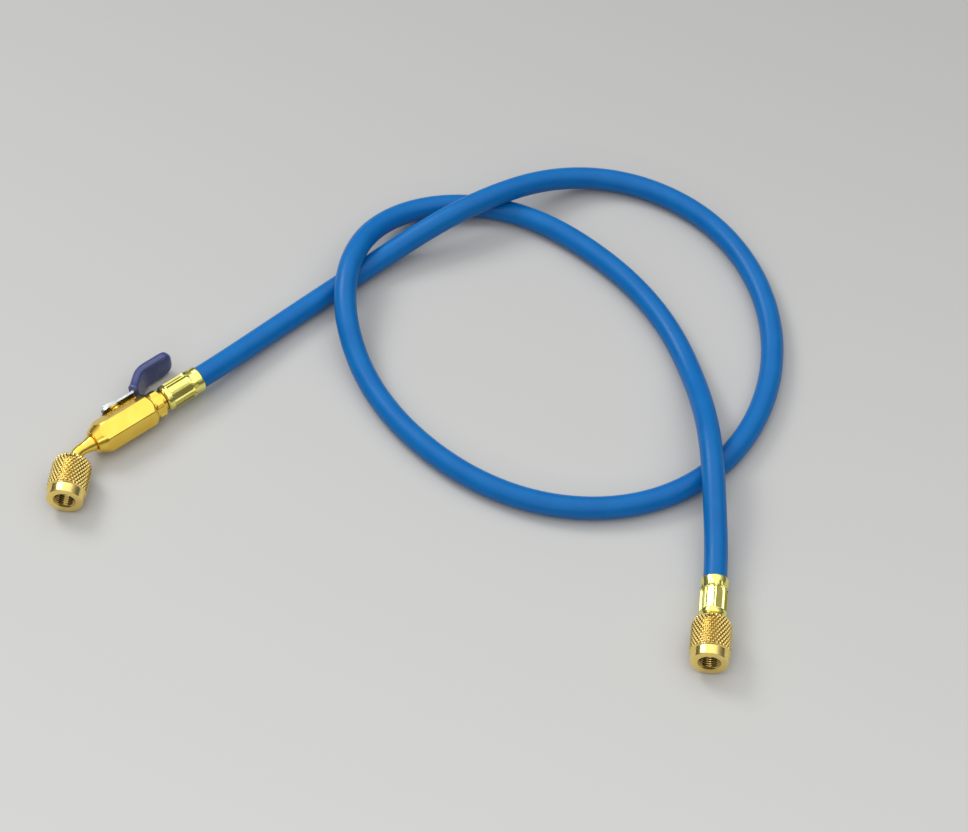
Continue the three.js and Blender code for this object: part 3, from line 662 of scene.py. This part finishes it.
def grip_stations():
    """Points and directions along the lever, from the grip's lip to its tip."""
    jog = math.radians(LEVER_JOG_ANGLE)
    out = Vector((-math.cos(jog), -math.sin(jog), 0))
    back = Vector((-1, 0, 0))
    bend = Vector((BALL_PLACE - LEVER_ARM, PLATE_MIDDLE, 0))
    elbow = bend + LEVER_JOG * out
    turn_in, turn_out = elbow - ELBOW_REACH * out, elbow + ELBOW_REACH * back
    tip = elbow + (LEVER_TIP + GRIP_OVERHANG) * back
    stations = [(bend + (GRIP_START + d) * out, out) for d in (0, 0.3, 0.8, 1.5, 2.4, 5, 8)]
    for k in range(9):
        t = k / 8
        point = turn_in.lerp(elbow, t).lerp(elbow.lerp(turn_out, t), t)
        stations.append((point, out.lerp(back, t).normalized()))
    closing = (12, 9, 7.5, 6.5, 5.5, 4.5, 3.6, 2.8, 2.1, 1.5, 1, 0.6, 0.3, 0.12, TIP_END)
    return stations + [(tip - d * back, back) for d in closing]


def rounding(distance, radius):
    """How far a rounded corner lies inside its side, at a distance from the end."""
    return radius - math.sqrt(max(radius ** 2 - max(radius - distance, 0) ** 2, 0))


def grip_section(point, way, from_lip, from_tip):
    side = way.cross(Vector((0, 0, 1)))
    lip = 0.86 + 0.2 * ease(from_lip / 0.8) - 0.06 * ease((from_lip - 0.9) / 1.6)
    wide = GRIP_THICK / 2 * lip - rounding(from_tip, 2.3)
    tall = GRIP_TALL / 2 * (1 + lip) / 2
    top = tall - rounding(from_tip, TIP_TOP_CORNER)
    low = tall - rounding(from_tip, TIP_LOW_CORNER)
    corner = min(2.2, 0.92 * wide)
    ring = []
    for quarter, (x, z) in enumerate([(1, 1), (-1, 1), (-1, -1), (1, -1)]):
        height = top if z > 0 else low
        for k in range(6):
            angle = (quarter + k / 5) * math.pi / 2
            across = x * (wide - corner) + corner * math.cos(angle)
            up = z * (height - corner) + corner * math.sin(angle)
            ring.append(point + side * across + Vector((0, 0, up)))
    return ring


def swept(sections):
    """A closed skin, made by extruding the first ring of points from each place to the next."""
    bm = bmesh.new()
    verts = [bm.verts.new(point) for point in sections[0]]
    ring = [bm.edges.new(pair) for pair in zip(verts, verts[1:] + verts[:1])]
    bmesh.ops.contextual_create(bm, geom=ring)
    for before, after in zip(sections, sections[1:]):
        grown = bmesh.ops.extrude_edge_only(bm, edges=ring)["geom"]
        for vert in (g for g in grown if isinstance(g, bmesh.types.BMVert)):
            nearest = min(range(len(before)), key=lambda k: (before[k] - vert.co).length)
            vert.co = after[nearest]
        ring = [g for g in grown if isinstance(g, bmesh.types.BMEdge) and g.is_boundary]
    bmesh.ops.contextual_create(bm, geom=ring)
    bmesh.ops.recalc_face_normals(bm, faces=bm.faces)
    return bm


def lever_grip():
    stations = grip_stations()
    lip, tip = stations[0][0], stations[-1][0] - Vector((TIP_END, 0, 0))
    sections = [
        grip_section(point, way, (point - lip).length, (tip - point).length)
        for point, way in stations]
    return saved(swept(sections), "dipped_grip", TURNED_VALVE, vinyl, "lever", sharp=60,
                 replaces=["lever_grip"])


lever_grip()

# %% [markdown]
# The other CAD pieces keep their shapes: the stem, the lever's plate with its nut and washer, the
# barbed stem, the ball with its seats, and the rubber rings in the nuts. They only take a finish.

# %% Finishes for the CAD pieces that stay
KEPT = {
    "hose_adapter": valve_brass, "valve_stem": valve_brass, "end_stem": end_brass,
    "ball": steel, "lever_plate": steel, "stem_washer": steel, "stem_nut": steel,
    "ball_seat_tube_side": ptfe, "ball_seat_hose_side": ptfe, "stem_packing": ptfe,
    "valve_gasket": nitrile, "end_gasket": nitrile,
}
for node, material in KEPT.items():
    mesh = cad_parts[node].data
    mesh.materials.clear()
    mesh.materials.append(material)

# %% [markdown]
# A pale warm floor, darker towards the back by painted shade that stands in for the light's fall-off,
# a soft light high on the left behind the hose, a low strip in front, and a grey world. The metals show
# what they reflect, so the world goes from bright above to dark near the horizon, which gives the brass
# its contrast.

# %% Floor and lights
# Floor colours at the front and at the back. The darkening between them is painted shade for the
# light's fall-off.
PAINTED_FALLOFF_FRONT, PAINTED_FALLOFF_BACK = (0.64, 0.64, 0.62), (0.37, 0.37, 0.37)
floor_mesh = bpy.data.meshes.new("floor")
bm = bmesh.new()
bmesh.ops.create_grid(bm, x_segments=1, y_segments=1, size=4)
bm.to_mesh(floor_mesh)
bm.free()
floor = bpy.data.objects.new("floor", floor_mesh)
bpy.context.scene.collection.objects.link(floor)


def floor_paper():
    material, nodes, links, shader = new_material("floor_paper")
    source = nodes.new("ShaderNodeTexCoord")
    split = nodes.new("ShaderNodeSeparateXYZ")
    links.new(source.outputs["Object"], split.inputs[0])
    # The floor's colour darkens towards the back: painted shade in place of the light falling off.
    painted_falloff = add(nodes, "ShaderNodeMapRange")
    painted_falloff.inputs["From Min"].default_value = -0.35
    painted_falloff.inputs["From Max"].default_value = 0.65
    links.new(split.outputs["Y"], painted_falloff.inputs["Value"])
    paper_and_painted_falloff = ramp(nodes, links, painted_falloff.outputs["Result"], [(0.0, PAINTED_FALLOFF_FRONT), (1.0, PAINTED_FALLOFF_BACK)])
    links.new(paper_and_painted_falloff, shader.inputs["Base Color"])
    shader.inputs["Roughness"].default_value = 0.75
    shader.inputs["Specular IOR Level"].default_value = 0.2
    return material


floor_mesh.materials.append(floor_paper())


def area_light(name, place, aim, size, power, colour=(1, 1, 1)):
    data = bpy.data.lights.new(name, "AREA")
    data.shape = "RECTANGLE"
    data.size, data.size_y = size
    data.energy = power
    data.color = colour
    light = bpy.data.objects.new(name, data)
    light.location = place
    light.rotation_euler = (Vector(aim) - Vector(place)).to_track_quat("-Z", "Y").to_euler()
    bpy.context.scene.collection.objects.link(light)


area_light("behind_left", (-0.85, 0.85, 1.15), (0, 0.05, 0), (0.6, 0.6), 9)
area_light("front_strip", (-0.35, -1.3, 0.75), (0, 0, 0), (0.9, 0.12), 1.5)


def studio_world():
    """Light grey above, dark near the horizon."""
    world = bpy.data.worlds.new("studio")
    bpy.context.scene.world = world
    world.use_nodes = True
    nodes, links = world.node_tree.nodes, world.node_tree.links
    source = nodes.new("ShaderNodeTexCoord")
    split = nodes.new("ShaderNodeSeparateXYZ")
    links.new(source.outputs["Generated"], split.inputs[0])
    heights = [(0.0, 0.06), (0.35, 0.16), (0.6, 0.42), (0.78, 1.0), (1.0, 1.1)]
    sky = ramp(nodes, links, split.outputs["Z"], [(z, grey(value)) for z, value in heights])
    links.new(sky, nodes["Background"].inputs["Color"])
    nodes["Background"].inputs["Strength"].default_value = 1.3


studio_world()
bpy.context.scene.view_settings.view_transform = "Standard"
